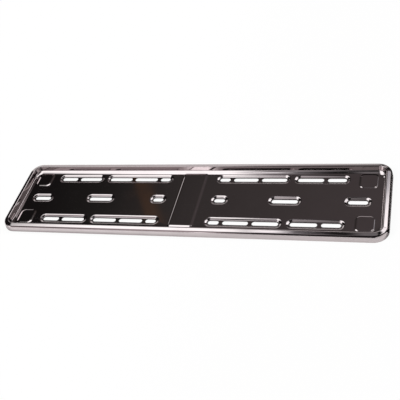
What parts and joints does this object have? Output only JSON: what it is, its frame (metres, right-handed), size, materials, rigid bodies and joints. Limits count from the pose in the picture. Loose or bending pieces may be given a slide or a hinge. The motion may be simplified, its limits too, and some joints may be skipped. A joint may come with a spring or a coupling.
{
  "type": "number plate holder",
  "caption": "Shallow pressed tray of polished sheet steel with a rolled rim, raised pads and slotted recesses, which holds a number plate on a car.",
  "frame": {"origin": "middle of the holder, in the plane of its back, where the recess floors and the skirt's edge touch the car", "axes": "+X along the holder, +Y across it towards the plate's upper edge, +Z out of the face"},
  "size_m": [0.5426, 0.1312, 0.0103],
  "materials": {
    "polished_steel": "mirror-polished stainless steel"
  },
  "bodies": {
    "root": {"number_plate_holder": "polished_steel"}
  },
  "joints": []
}
